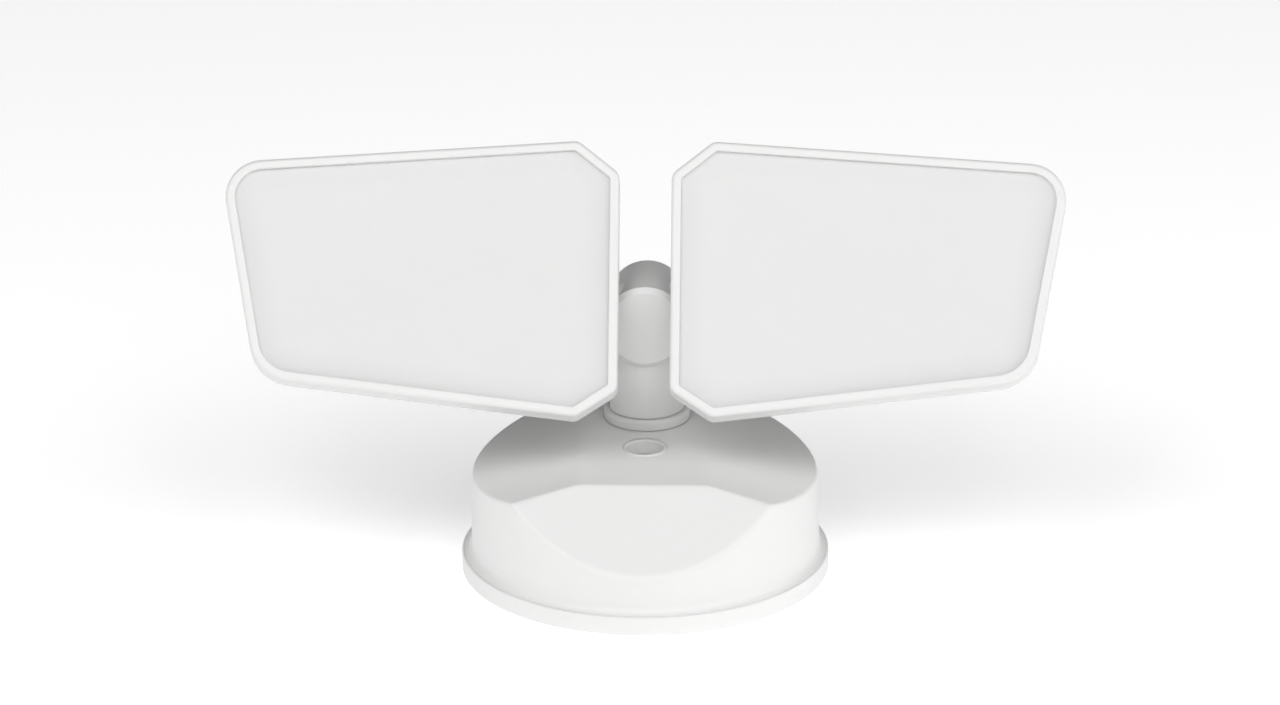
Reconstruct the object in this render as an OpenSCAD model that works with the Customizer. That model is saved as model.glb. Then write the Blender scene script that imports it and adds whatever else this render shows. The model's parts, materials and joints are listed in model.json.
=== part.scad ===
// Twin-head floodlight on a round canopy that covers a ceiling or wall junction box.
// Origin: centre of the canopy's mounting face. +Z points away from the mounting surface,
// the lamps face -Y and upwards, and +X is the right-hand side seen from the front.
// All sizes are in millimetres and degrees.

/* [Canopy] */
// Outside diameter of the mounting flange
flange_d = 127; // [116:1:155]
// Height of the flange's upright rim
flange_h = 6.5; // [3:0.5:7]
// How far the wall stands in from the flange
flare_in = 3.3; // [2:0.1:5]
// Height of the hollow curve from the flange up to the wall
flare_h = 3.7; // [3:0.1:8]
// How far the wall leans in from the flare to the top
wall_draft = 0.4; // [0:0.1:1.5]
// Height of the canopy's flat top strip
canopy_h = 43.7; // [40:0.1:54]
// Wall thickness of the canopy
canopy_t = 2.5; // [2:0.1:3.5]
// Radius of the rounded top edge
top_round = 8; // [5:0.5:10]
// Width of the flat strip along the middle of the top
strip_w = 43; // [36:1:60]
// Fall of the top on each side of the strip
side_fall = 12.7; // [6:0.1:14]
// Distance of the front facet's upper edge from the centre
facet_edge = 33.4; // [31:0.1:38]
// Slope of the front facet
facet_slope = 43.2; // [38:0.1:46]

/* [Mounting] */
// Distance between the junction box screws
box_spacing = 88.9; // [83:0.1:92]
// Width of the mounting bar's slots
slot_w = 4.6; // [4.2:0.1:5.5]
// End-to-end length of the mounting bar's slots
slot_l = 11; // [8:0.5:14]
// Width of the mounting bar
bar_w = 22; // [16:1:26]
// Thickness of the mounting bar
bar_t = 2; // [1.5:0.1:3]
// Thread diameter of the canopy bolt
bolt_d = 6; // [5:0.5:8]
// Diameter of the canopy bolt's head
bolt_head_d = 10; // [9:0.5:12]
// Depth of the recess that the bolt's head sits in
recess_depth = 8; // [6:0.1:10]
// Width of the foam gasket
gasket_w = 3; // [2:0.5:3.5]
// Thickness of the foam gasket
gasket_h = 2.2; // [1.5:0.1:3]

/* [Driver and radio] */
// Height of the gear tray above the mounting face
tray_z = 10; // [9:0.5:11]
// Thickness of the gear tray
tray_t = 2; // [1.5:0.1:2.5]
// Width of the driver's case
driver_w = 60; // [48:1:66]
// Depth of the driver's case, front to back
driver_l = 34; // [28:1:35]
// Height of the driver's case without its cover
driver_h = 13; // [12:0.5:13.5]
// Wall thickness of the driver's case
driver_t = 1.6; // [1.2:0.1:2]
// Width of the radio board
radio_w = 30; // [24:1:32]
// Depth of the radio board
radio_l = 20; // [18:1:22]
// Thickness of the circuit boards
board_t = 1.6; // [1:0.1:2]

/* [Post and hub] */
// Outside diameter of the post
post_d = 26; // [24:0.5:30]
// Distance of the post's axis behind the canopy's centre
post_y = 29.5; // [28:0.5:32]
// Diameter of the post's spigot through the canopy
spigot_d = 18; // [16:0.5:20]
// Diameter of the wire passage in the post
post_bore_d = 12; // [8:0.5:13]
// Outside diameter of the collar at the post's foot
collar_d = 30; // [28:0.5:33]
// Height of the collar
collar_h = 3.5; // [3:0.1:5]
// Height of the hub's centre above the mounting face
hub_z = 82; // [82:0.5:100]
// Outside diameter of the hub's barrel
hub_d = 26; // [25:0.5:27]
// Wall thickness of the hub's barrel
hub_t = 2.7; // [2:0.1:3]
// Length of the barrel ahead of the post's axis
hub_front = 13; // [12.5:0.5:13.5]
// Length of the barrel behind the post's axis
hub_back = 16.5; // [15:0.5:16.5]
// Distance of the hub's side faces from its centre
hub_side = 14.5; // [14:0.1:16]
// Face diameter of the hub's cap
cap_face_d = 26.2; // [24:0.1:26.4]
// Width of the sloping edge around the cap's face
cap_bevel = 2.4; // [1.5:0.1:2.4]
// Depth of the sloping edge around the cap's face
cap_depth = 2; // [1.5:0.1:2]

/* [Arms] */
// Diameter of the arm's pivot shaft
shaft_d = 10; // [9:0.5:11]
// Diameter of the arm's disc against the hub
disc_d = 21; // [20:0.5:22]
// Thickness of the arm's disc
disc_t = 4; // [3:0.5:5]
// Diameter of the arm's neck
neck_d = 12; // [10:0.5:13]
// Distance of the pan axis from the hub's centre
pan_x = 38; // [36:0.5:46]
// Diameter of the arm's eye around the pan bolt
eye_d = 16; // [14:0.5:17]
// Diameter of the pan bolt
pan_bolt_d = 6; // [5:0.5:7]
// Thickness of each of the lamp bracket's ears
ear_t = 4; // [3:0.5:5]
// Thickness of the lamp bracket's plate
bracket_t = 3; // [2:0.5:4]
// Width of the lamp bracket's plate
bracket_w = 28; // [26:1:34]
// Height of the lamp bracket's plate
bracket_h = 38; // [36:1:44]

/* [Lamps] */
// Angle of the lamps' faces above level
lamp_tilt = 35; // [30:1:60]
// Gap between the two lamps
lamp_gap = 18; // [18:0.2:30]
// Width of a lamp, from its inner edge to its upper outer corner
lamp_w = 138.5; // [125:0.1:170]
// Width of a lamp, from its inner edge to its lower outer corner
lamp_low_w = 125; // [112:0.1:140]
// Length of a lamp's straight inner edge
inner_h = 76.6; // [66:0.1:78]
// Height of the inner edge's middle above the hub's centre line
inner_rise = 3.8; // [2.5:0.1:8]
// Length of a lamp's cut inner corners across its width
cut_w = 14.4; // [10:0.1:18]
// Rise of a lamp's cut upper corner
cut_top = 11.6; // [8:0.1:15]
// Drop of a lamp's cut lower corner
cut_low = 9.6; // [7:0.1:9.8]
// Fall of a lamp's upper edge towards its outer corner
top_fall = 8.3; // [2:0.1:12]
// Rise of a lamp's lower edge towards its outer corner
low_rise = 13.5; // [6:0.1:18]
// Corner radius at a lamp's upper outer corner
round_top = 13; // [8:0.5:16]
// Corner radius at a lamp's lower outer corner
round_low = 15.5; // [8:0.5:18]
// Corner radius at a lamp's four inner corners
round_in = 2.5; // [1:0.1:4]
// Distance of a lamp's back from the hub's centre line
lamp_back = 19.5; // [19.5:0.1:24]
// Thickness of a lamp from back to front
lamp_t = 12; // [11.8:0.1:18]
// Wall thickness of a lamp's housing
lamp_wall = 2.5; // [2:0.1:3]
// Width of the bezel's front face
bezel_w = 3.3; // [2.8:0.1:5]
// Width of the bezel's rim outside the lens
bezel_rim = 1.6; // [1.2:0.1:2]
// How far the lens lies back from the bezel's face
lens_sunk = 1.7; // [1:0.1:2]
// Thickness of the lens
lens_t = 2; // [1.5:0.1:2.2]
// Thickness of the lens gasket
seal_t = 1.3; // [1:0.1:1.5]
// Number of light-emitting chips across a lamp
led_columns = 7; // [4:1:8]
// Number of rows of light-emitting chips
led_rows = 5; // [3:1:5]
// Height of the cooling fins
fin_h = 5; // [3:0.5:6]
// Thickness of a cooling fin
fin_t = 2; // [1.5:0.1:3]
// Spacing of the cooling fins
fin_pitch = 8; // [6:0.5:12]

/* [Clearances] */
// Gap between faces that move past each other
move_gap = 0.3; // [0.2:0.05:0.5]
// Radial clearance of a turning fit
turn_gap = 0.05; // [0.02:0.01:0.1]
// Radial clearance of a screw in its hole
screw_gap = 0.2; // [0.1:0.05:0.4]

/* [Hidden] */
$fn = 64;
over = 1;                                   // how far a cutting tool runs past a face
arc_steps = 8;                              // straight steps in a rounded edge

flange_r = flange_d / 2;
wall_r = flange_r - flare_in;               // wall radius just above the flare
wall_z = flange_h + flare_h;                // height where the wall starts
cavity_r = wall_r - wall_draft - canopy_t;  // inside radius of the canopy
roof_z = canopy_h - canopy_t;               // underside of the flat strip
recess_r = bolt_head_d / 2 + 1;
recess_z = canopy_h - recess_depth;         // floor of the bolt recess
recess_floor = 3;                           // thickness under the bolt recess
bolt_seal_t = 1;
bolt_head_h = 2.5;
bolt_end = 0.5;                             // the bolt's tip stays above the mounting face
bar_boss_h = 4;                             // height of the bar's threaded boss
bar_half = cavity_r - 5;                    // half the length of the mounting bar
ground_x = 20;                              // place of the earthing screw on the bar

tray_r = cavity_r - 3;
tray_top = tray_z + tray_t;
// places of the four tray screws, as shares of the cavity's radius
tray_spots = [for (p = [[0.76, -0.38], [0.42, 0.70]], s = [-1, 1]) [s * p[0] * cavity_r, p[1] * cavity_r]];
tray_boss_r = 4;
screw_r = 1.5;
screw_head_r = 2.8;
screw_head_h = 1.6;

driver_y = -(recess_r + 5 + driver_l / 2);  // middle of the driver's case
driver_top = tray_top + driver_h;
driver_cover_t = 1.4;
driver_board_z = tray_top + driver_t + 2;
driver_spots = [for (x = [-1, 1], y = [-1, 1]) [x * (driver_w / 2 - 4), y * (driver_l / 2 - 4)]];
driver_boss_r = 3;
radio_x = 27;
radio_y = 15;
radio_z = tray_top + 5;
radio_spots = [for (x = [-1, 1], y = [-1, 1]) [x * (radio_w / 2 - 3), y * (radio_l / 2 - 3)]];
terminal_size = [24, 11, 10];
terminal_at = [-27, 12];
terminal_pitch = 6;

post_r = post_d / 2;
spigot_r = spigot_d / 2;
post_boss_r = spigot_r + 5;
post_boss_z = roof_z - 3;                   // underside of the boss around the spigot
collar_top = canopy_h + collar_h;
post_foot = collar_top + move_gap;
washer_t = 1;
post_nut_h = 4;
post_nut_r = spigot_r + 4;
post_washer_z = post_boss_z - move_gap - washer_t;
post_nut_z = post_washer_z - post_nut_h;
spigot_end = post_nut_z - 0.7;
hub_r = hub_d / 2;
hub_bore_r = hub_r - hub_t;
boss_r = disc_d / 2;                        // the hub's side bosses match the arm's disc
spot_x = hub_side - 4.5;                    // inside face of the hub's side wall
arm_nut_r = shaft_d / 2 + 2;
arm_nut_h = 3.5;
cap_r = cap_face_d / 2;
cap_rim_r = cap_r + cap_bevel;
cap_plug_l = 3;
cap_seal_t = 0.8;

shaft_r = shaft_d / 2;
disc_x = hub_side + move_gap;               // where the arm's disc starts
shaft_end = spot_x - arm_nut_h - move_gap - 0.7;
arm_wire_r = 2.5;
arm_seal_r = 6.4;                           // inside radius of the arm's seal
arm_seal_w = 2.2;
arm_seal_t = 0.6;
eye_h = neck_d + 2;                         // height of the eye along the pan axis
ear_in = eye_h / 2 + move_gap;              // inner face of each bracket ear
ear_out = ear_in + ear_t;
ear_r = eye_d / 2;
pan_r = pan_bolt_d / 2;
pan_head_h = 3.5;
pan_nut_h = 4;
bracket_spots = [for (x = [-1, 1], z = [-1, 1]) [pan_x + x * (bracket_w / 2 - 4), z * (bracket_h / 2 - 4)]];

inner_x = lamp_gap / 2;
lamp_front = lamp_back + lamp_t;            // plane of the bezel's face
lens_front = lamp_front - lens_sunk;
lens_back = lens_front - lens_t;
seam = lens_back - seal_t;                  // where the bezel meets the housing
floor_in = lamp_back + lamp_wall;           // inside of the housing's back
pad_t = 0.5;
led_back = floor_in + pad_t;
led_board_t = 1.5;
led_front = led_back + led_board_t;
chip_t = 0.9;
chip_w = 3;
reflector_t = 0.4;
reflector_edge = 5.5;
board_edge = 4.5;
board_spot_in = 11;                         // distance of the board screws from the lamp's edges
gland_x = pan_x + bracket_w / 2 + 9;
gland_r = 5;
fin_from = gland_x + gland_r + 5;
gap_low = inner_rise - inner_h / 2;         // lower end of the straight inner edge
gap_high = inner_rise + inner_h / 2;        // upper end of the straight inner edge

// The six corners of a lamp, counter-clockwise from the inner edge's lower end
lamp_corners = [
    [inner_x, gap_low],
    [inner_x + cut_w, gap_low - cut_low],
    [inner_x + lamp_low_w, gap_low - cut_low + low_rise],
    [inner_x + lamp_w, gap_high + cut_top - top_fall],
    [inner_x + cut_w, gap_high + cut_top],
    [inner_x, gap_high]
];
lamp_rounds = [round_in, round_in, round_low, round_top, round_in, round_in];

led_left = inner_x + cut_w + 8;
led_right = inner_x + lamp_low_w - 17;
led_low = lamp_corners[2][1] + 7;
led_high = lamp_corners[3][1] - 9;
led_spots = [
    for (i = [0 : led_columns - 1], j = [0 : led_rows - 1])
        [led_left + i * (led_right - led_left) / (led_columns - 1),
         led_low + j * (led_high - led_low) / (led_rows - 1)]
];

// ---- outline functions ----

// Outward unit normal of the edge from a to b of a counter-clockwise outline
function edge_normal(a, b) = [b[1] - a[1], a[0] - b[0]] / norm(b - a);

// The corner p, between its neighbours a and b, moved inwards by d from both of its edges
function inset_corner(a, p, b, d) =
    let (n1 = edge_normal(a, p), n2 = edge_normal(p, b)) p - d * (n1 + n2) / (1 + n1 * n2);

// All corners of an outline moved inwards by d
function inset_corners(pts, d) =
    let (n = len(pts)) [for (i = [0 : n - 1]) inset_corner(pts[(i + n - 1) % n], pts[i], pts[(i + 1) % n], d)];

// The arc of radius r that rounds the corner p
function corner_arc(a, p, b, r) =
    let (n1 = edge_normal(a, p), n2 = edge_normal(p, b), c = inset_corner(a, p, b, r),
         from = atan2(n1[1], n1[0]), turn = acos(n1 * n2))
    [for (i = [0 : arc_steps]) c + r * [cos(from + turn * i / arc_steps), sin(from + turn * i / arc_steps)]];

// An outline with its corners rounded
function rounded(pts, radii) =
    let (n = len(pts))
    [for (i = [0 : n - 1], q = corner_arc(pts[(i + n - 1) % n], pts[i], pts[(i + 1) % n], radii[i])) q];

// A lamp's outline, moved inwards by d
function lamp_outline(d) =
    rounded(inset_corners(lamp_corners, d), [for (r = lamp_rounds) max(r - d, 0.8)]);

// Height of the canopy's top at x, for a shell moved inwards by d
function roof_at(x, d) =
    canopy_h - d - (abs(x) - strip_w / 2) * tan(side_fall) - d * (1 / cos(side_fall) - 1);

// ---- helpers ----

// Straight drill or rod along Z between two heights
module rod(r, from, to) {
    translate([0, 0, from])
        cylinder(r = r, h = to - from);
}

// Ring along Z between two heights
module ring(r_out, r_in, from, to) {
    difference() {
        rod(r_out, from, to);
        rod(r_in, from - over, to + over);
    }
}

// Cylinder along X between two places
module rod_x(r, from, to) {
    translate([from, 0, 0])
        rotate([0, 90, 0])
            cylinder(r = r, h = to - from);
}

// Pan-head screw, with its head's top at z = 0 and its shank along -Z
module screw(head_r, head_h, shank_r, shank_l) {
    difference() {
        rod(head_r, -head_h, 0);
        for (turn = [0, 90])
            rotate([0, 0, turn])
                translate([-head_r * 0.6, -0.35, -head_h * 0.5])
                    cube([head_r * 1.2, 0.7, head_h]);
    }
    rod(shank_r, -head_h - shank_l, -head_h);
}

// Hexagonal nut along Z between two heights
module nut(r_out, r_in, from, to) {
    difference() {
        translate([0, 0, from])
            cylinder(r = r_out, h = to - from, $fn = 6);
        rod(r_in, from - over, to + over);
    }
}

// Places a lamp's or an arm's shape: side -1 is the left one, 1 the right one.
// In its own axes X runs outwards, Z runs up the lamp's face and -Y points out of the face.
module on_side(side) {
    mirror([side < 0 ? 1 : 0, 0, 0])
        translate([0, post_y, hub_z])
            rotate([-lamp_tilt, 0, 0])
                children();
}

// Plate of the given outline, between two distances from the hub's centre line
module slab(pts, near, far) {
    translate([0, -near, 0])
        rotate([90, 0, 0])
            linear_extrude(far - near)
                polygon(pts);
}

// Turns a shape drawn along Z so that it points out of the lamp's back, its top at the given distance
module from_back(at, distance) {
    translate([at[0], -distance, at[1]])
        rotate([-90, 0, 0])
            children();
}

// Turns a shape drawn along Z so that it points out of the lamp's face, its top at the given distance
module from_front(at, distance) {
    translate([at[0], -distance, at[1]])
        rotate([90, 0, 0])
            children();
}

// ---- canopy ----

// Turned form of the canopy, flange and rounded top edge included
module canopy_turned() {
    rotate_extrude()
        polygon(concat(
            [[0, 0], [flange_r, 0], [flange_r, flange_h]],
            [for (i = [1 : arc_steps])
                [flange_r - flare_in * sin(i * 90 / arc_steps), wall_z - flare_h * cos(i * 90 / arc_steps)]],
            [for (i = [0 : arc_steps])
                [wall_r - wall_draft - top_round * (1 - cos(i * 90 / arc_steps)),
                 canopy_h - top_round * (1 - sin(i * 90 / arc_steps))]],
            [[0, canopy_h]]));
}

// Space inside the canopy, before its top is cut
module cavity_turned() {
    inner_round = top_round - canopy_t;
    rotate_extrude()
        polygon(concat(
            [[0, -over], [cavity_r, -over]],
            [for (i = [0 : arc_steps])
                [cavity_r - inner_round * (1 - cos(i * 90 / arc_steps)),
                 roof_z - inner_round * (1 - sin(i * 90 / arc_steps))]],
            [[0, roof_z]]));
}

// Everything below the top's strip, side slopes and front facet, moved inwards by d
module below_top(d) {
    reach = flange_r + 5;
    half = strip_w / 2 + d * tan(side_fall / 2);
    facet_top = canopy_h - d;
    facet_y = -facet_edge + d * tan(facet_slope / 2);
    intersection() {
        translate([0, reach, 0])
            rotate([90, 0, 0])
                linear_extrude(2 * reach)
                    polygon([
                        [-reach, -2 * over], [reach, -2 * over], [reach, roof_at(reach, d)],
                        [half, canopy_h - d], [-half, canopy_h - d], [-reach, roof_at(reach, d)]]);
        translate([-reach, 0, 0])
            rotate([90, 0, 90])
                linear_extrude(2 * reach)
                    polygon([
                        [-reach, -2 * over], [reach, -2 * over], [reach, facet_top + over],
                        [facet_y + over / tan(facet_slope), facet_top + over],
                        [-reach, facet_top - (reach + facet_y) * tan(facet_slope)]]);
    }
}

module canopy_housing() {
    color("whitesmoke")
        difference() {
            union() {
                difference() {
                    intersection() {
                        canopy_turned();
                        below_top(0);
                    }
                    intersection() {
                        cavity_turned();
                        below_top(canopy_t);
                    }
                    ring(cavity_r + 1.2 + gasket_w, cavity_r + 1.2, -over, gasket_h);
                }
                intersection() {
                    union() {
                        rod(recess_r + 3, recess_z - recess_floor, canopy_h);
                        translate([0, post_y, 0])
                            rod(post_boss_r, post_boss_z, canopy_h);
                        for (p = tray_spots)
                            translate([p[0], p[1], 0])
                                rod(tray_boss_r, tray_top, canopy_h);
                    }
                    below_top(canopy_t / 2);
                }
            }
            rod(recess_r, recess_z, canopy_h + over);
            rod(bolt_d / 2 + screw_gap, recess_z - recess_floor - over, canopy_h);
            translate([0, post_y, 0])
                rod(spigot_r + turn_gap, post_boss_z - over, canopy_h + over);
            for (p = tray_spots)
                translate([p[0], p[1], 0])
                    rod(screw_r, tray_top - over, tray_top + 7);
        }
}

module canopy_gasket() {
    color("dimgray")
        ring(cavity_r + 1.2 + gasket_w, cavity_r + 1.2, 0, gasket_h);
}

module mounting_bar() {
    color("silver")
        difference() {
            union() {
                translate([-bar_half, -bar_w / 2, 0])
                    cube([2 * bar_half, bar_w, bar_t]);
                rod(bolt_d / 2 + 2.5, 0, bar_t + bar_boss_h);
            }
            rod(bolt_d / 2, -over, bar_t + bar_boss_h + over);
            for (side = [-1, 1])
                translate([side * box_spacing / 2, 0, 0])
                    union() {
                        for (end = [-1, 1])
                            translate([end * (slot_l - slot_w) / 2, 0, 0])
                                rod(slot_w / 2, -over, bar_t + over);
                        translate([-(slot_l - slot_w) / 2, -slot_w / 2, -over])
                            cube([slot_l - slot_w, slot_w, bar_t + 2 * over]);
                    }
            translate([ground_x, 0, 0])
                rod(screw_r + 0.3, -over, bar_t + over);
        }
}

module ground_screw() {
    color("seagreen")
        translate([ground_x, 0, bar_t + 2])
            screw(4, 2, screw_r + 0.3, bar_t - 0.3);
}

module canopy_bolt() {
    color("silver")
        translate([0, 0, recess_z + bolt_seal_t + bolt_head_h])
            screw(bolt_head_d / 2, bolt_head_h, bolt_d / 2, recess_z + bolt_seal_t - bolt_end);
}

module bolt_seal() {
    color("dimgray")
        ring(bolt_head_d / 2, bolt_d / 2 + screw_gap, recess_z, recess_z + bolt_seal_t);
}

// ---- driver and radio ----

module gear_tray() {
    color("gainsboro")
        difference() {
            union() {
                rod(tray_r, tray_z, tray_top);
                for (p = radio_spots)
                    translate([radio_x + p[0], radio_y + p[1], 0])
                        rod(2.5, tray_z, radio_z);
            }
            rod(bolt_d / 2 + 1.5, tray_z - over, tray_top + over);
            translate([0, post_y, 0])
                rod(post_bore_d / 2, tray_z - over, tray_top + over);
            for (p = tray_spots)
                translate([p[0], p[1], 0])
                    rod(screw_r + screw_gap, tray_z - over, tray_top + over);
            for (p = radio_spots)
                translate([radio_x + p[0], radio_y + p[1], 0])
                    rod(1, tray_top, radio_z + over);
        }
}

module tray_screws() {
    color("silver")
        for (p = tray_spots)
            translate([p[0], p[1], tray_z - screw_head_h])
                mirror([0, 0, 1])
                    screw(screw_head_r, screw_head_h, screw_r, tray_t + 6);
}

module driver_case() {
    color("lightgray")
        translate([0, driver_y, 0])
            difference() {
                union() {
                    difference() {
                        translate([-driver_w / 2, -driver_l / 2, tray_top])
                            cube([driver_w, driver_l, driver_h]);
                        translate([driver_t - driver_w / 2, driver_t - driver_l / 2, tray_top + driver_t])
                            cube([driver_w - 2 * driver_t, driver_l - 2 * driver_t, driver_h]);
                    }
                    for (p = driver_spots)
                        translate([p[0], p[1], 0])
                            rod(driver_boss_r, tray_top, driver_top);
                }
                for (p = driver_spots)
                    translate([p[0], p[1], 0])
                        rod(1.2, driver_top - 6, driver_top + over);
            }
}

module driver_cover() {
    color("gainsboro")
        translate([0, driver_y, 0])
            difference() {
                translate([-driver_w / 2, -driver_l / 2, driver_top])
                    cube([driver_w, driver_l, driver_cover_t]);
                for (p = driver_spots)
                    translate([p[0], p[1], 0])
                        rod(1.2 + screw_gap, driver_top - over, driver_top + driver_cover_t + over);
            }
}

module driver_screws() {
    color("silver")
        for (p = driver_spots)
            translate([p[0], driver_y + p[1], driver_top + driver_cover_t + 1])
                screw(2.2, 1, 1.2, driver_cover_t + 4);
}

module driver_board() {
    color("seagreen")
        translate([0, driver_y, 0])
            difference() {
                translate([driver_t + 0.5 - driver_w / 2, driver_t + 0.5 - driver_l / 2, driver_board_z])
                    cube([driver_w - 2 * driver_t - 1, driver_l - 2 * driver_t - 1, board_t]);
                for (p = driver_spots)
                    translate([p[0], p[1], 0])
                        rod(driver_boss_r + 0.3, driver_board_z - over, driver_board_z + board_t + over);
            }
}

// Transformer, choke, two capacitors and a row of small parts on the driver's board
module driver_parts() {
    part_z = driver_board_z + board_t;
    part_h = driver_top - part_z - 0.8;
    color("goldenrod")
        translate([0, driver_y, part_z])
            union() {
                translate([-7, -6, 0])
                    cube([14, 12, part_h]);
                for (x = [-20, -13])
                    translate([x, 3, 0])
                        cylinder(r = 3, h = part_h);
                translate([17, -1, 0])
                    cylinder(r = 4.5, h = part_h * 0.8);
                for (i = [0 : 4])
                    translate([-12 + 6 * i, -11, 0])
                        cube([3, 2, 1.5]);
            }
}

module radio_board() {
    color("seagreen")
        translate([radio_x, radio_y, 0])
            difference() {
                translate([-radio_w / 2, -radio_l / 2, radio_z])
                    cube([radio_w, radio_l, board_t]);
                for (p = radio_spots)
                    translate([p[0], p[1], 0])
                        rod(1 + screw_gap, radio_z - over, radio_z + board_t + over);
            }
}

module radio_shield() {
    color("silver")
        translate([radio_x, radio_y, radio_z + board_t])
            translate([-7, -5, 0])
                cube([14, 10, 2.6]);
}

module radio_screws() {
    color("silver")
        for (p = radio_spots)
            translate([radio_x + p[0], radio_y + p[1], radio_z + board_t + 1])
                screw(2, 1, 1, board_t + 3);
}

module terminal_block() {
    color("ivory")
        translate([terminal_at[0], terminal_at[1], tray_top])
            difference() {
                translate([-terminal_size[0] / 2, -terminal_size[1] / 2, 0])
                    cube(terminal_size);
                for (i = [-1, 0, 1])
                    translate([i * terminal_pitch, 0, 0])
                        union() {
                            rod(1.8, 4, terminal_size[2] + over);
                            translate([0, 0, 3])
                                rotate([90, 0, 0])
                                    rod(1.5, 2, terminal_size[1] / 2 + over);
                        }
            }
}

module terminal_screws() {
    color("goldenrod")
        for (i = [-1, 0, 1])
            translate([terminal_at[0] + i * terminal_pitch, terminal_at[1], tray_top + terminal_size[2] - 1])
                rod(1.8, -4, 0);
}

// ---- post and hub ----

module post_collar() {
    edge = 1;
    color("whitesmoke")
        translate([0, post_y, 0])
            difference() {
                rotate_extrude()
                    polygon(concat(
                        [[spigot_r + turn_gap, canopy_h], [collar_d / 2, canopy_h]],
                        [for (i = [0 : arc_steps])
                            [collar_d / 2 - edge * (1 - cos(i * 90 / arc_steps)),
                             collar_top - edge * (1 - sin(i * 90 / arc_steps))]],
                        [[spigot_r + turn_gap, collar_top]]));
                ring(spigot_r + 4, spigot_r + 2, canopy_h - over, canopy_h + 1);
            }
}

module collar_seal() {
    color("dimgray")
        translate([0, post_y, 0])
            ring(spigot_r + 4, spigot_r + 2, canopy_h, canopy_h + 1);
}

module post() {
    cavity_end = hub_back - hub_t;
    color("whitesmoke")
        translate([0, post_y, 0])
            difference() {
                union() {
                    rod(post_r, post_foot, hub_z);
                    rod(spigot_r, spigot_end, post_foot);
                    translate([0, hub_back, hub_z])
                        rotate([90, 0, 0])
                            cylinder(r = hub_r, h = hub_back + hub_front);
                    translate([0, 0, hub_z])
                        rod_x(boss_r, -hub_side, hub_side);
                }
                rod(post_bore_d / 2, spigot_end - over, hub_z);
                translate([0, cavity_end, hub_z])
                    rotate([90, 0, 0])
                        cylinder(r = hub_bore_r, h = cavity_end + hub_front + over);
                translate([0, 0, hub_z])
                    rod_x(arm_nut_r + 0.6, -spot_x, spot_x);
                translate([0, 0, hub_z])
                    rod_x(shaft_r + turn_gap, -hub_side - over, hub_side + over);
            }
}

module post_washer() {
    color("silver")
        translate([0, post_y, 0])
            ring(post_nut_r, spigot_r, post_washer_z, post_washer_z + washer_t);
}

module post_nut() {
    color("silver")
        translate([0, post_y, 0])
            nut(post_nut_r, spigot_r, post_nut_z, post_washer_z);
}

// Turns a shape drawn along Z so that it points out of the hub's front, with z = 0 on the barrel's end
module on_hub_front() {
    translate([0, post_y - hub_front, hub_z])
        rotate([90, 0, 0])
            children();
}

module hub_cap() {
    color("whitesmoke")
        on_hub_front()
            difference() {
                union() {
                    rotate_extrude()
                        polygon([[0, 0], [cap_rim_r, 0], [cap_r, cap_depth], [0, cap_depth]]);
                    rod(hub_bore_r - 0.1, -cap_plug_l, 0);
                }
                rod(hub_bore_r - 1.6, -cap_plug_l - over, -0.5);
                ring(hub_r - 0.6, hub_bore_r + 0.4, -over, cap_seal_t);
            }
}

module hub_seal() {
    color("dimgray")
        on_hub_front()
            ring(hub_r - 0.6, hub_bore_r + 0.4, 0, cap_seal_t);
}

// ---- arms ----

module arm(side) {
    seal_out = arm_seal_r + arm_seal_w;
    exit_x = pan_x - eye_d / 2 - 4;
    color("whitesmoke")
        on_side(side)
            difference() {
                union() {
                    rod_x(shaft_r, shaft_end, disc_x);
                    rod_x(disc_d / 2, disc_x, disc_x + disc_t);
                    rod_x(neck_d / 2, disc_x + disc_t, pan_x);
                    translate([pan_x, 0, 0])
                        rod(eye_d / 2, -eye_h / 2, eye_h / 2);
                }
                rod_x(arm_wire_r, shaft_end - over, exit_x);
                translate([exit_x - arm_wire_r, 0, 0])
                    rotate([-90, 0, 0])
                        cylinder(r = arm_wire_r, h = neck_d);
                translate([pan_x, 0, 0])
                    rod(pan_r + turn_gap, -eye_h, eye_h);
                difference() {
                    rod_x(seal_out, disc_x - over, disc_x + arm_seal_t);
                    rod_x(arm_seal_r, disc_x - 2 * over, disc_x + 2 * over);
                }
            }
}

module arm_seal(side) {
    color("dimgray")
        on_side(side)
            difference() {
                rod_x(arm_seal_r + arm_seal_w, hub_side + turn_gap, disc_x + arm_seal_t);
                rod_x(arm_seal_r, hub_side - over, disc_x + over);
            }
}

module arm_nut(side) {
    color("silver")
        on_side(side)
            translate([spot_x - move_gap - arm_nut_h, 0, 0])
                rotate([0, 90, 0])
                    nut(arm_nut_r, shaft_r, 0, arm_nut_h);
}

// ---- lamps ----

module lamp_housing(side) {
    color("whitesmoke")
        on_side(side)
            difference() {
                union() {
                    difference() {
                        slab(lamp_outline(0), lamp_back, seam);
                        slab(lamp_outline(lamp_wall), floor_in, seam + over);
                    }
                    intersection() {
                        slab(lamp_outline(9), lamp_back - fin_h, lamp_back + over);
                        for (x = [fin_from : fin_pitch : inner_x + lamp_w])
                            translate([x - fin_t / 2, -lamp_back - over, lamp_corners[1][1]])
                                cube([fin_t, fin_h + over, inner_h + cut_top + cut_low]);
                    }
                }
                from_back([gland_x, 0], floor_in)
                    rod(2.5, -over, lamp_wall + over);
                for (p = bracket_spots)
                    from_back(p, floor_in)
                        rod(screw_r, 0.5, lamp_wall + over);
                for (p = board_spots())
                    from_back(p, floor_in)
                        rod(screw_r, -over, 1.4);
            }
}

// Places of the four screws that hold the light-emitting board
function board_spots() = let (c = inset_corners(lamp_corners, board_spot_in)) [c[1], c[2], c[3], c[4]];

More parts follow.
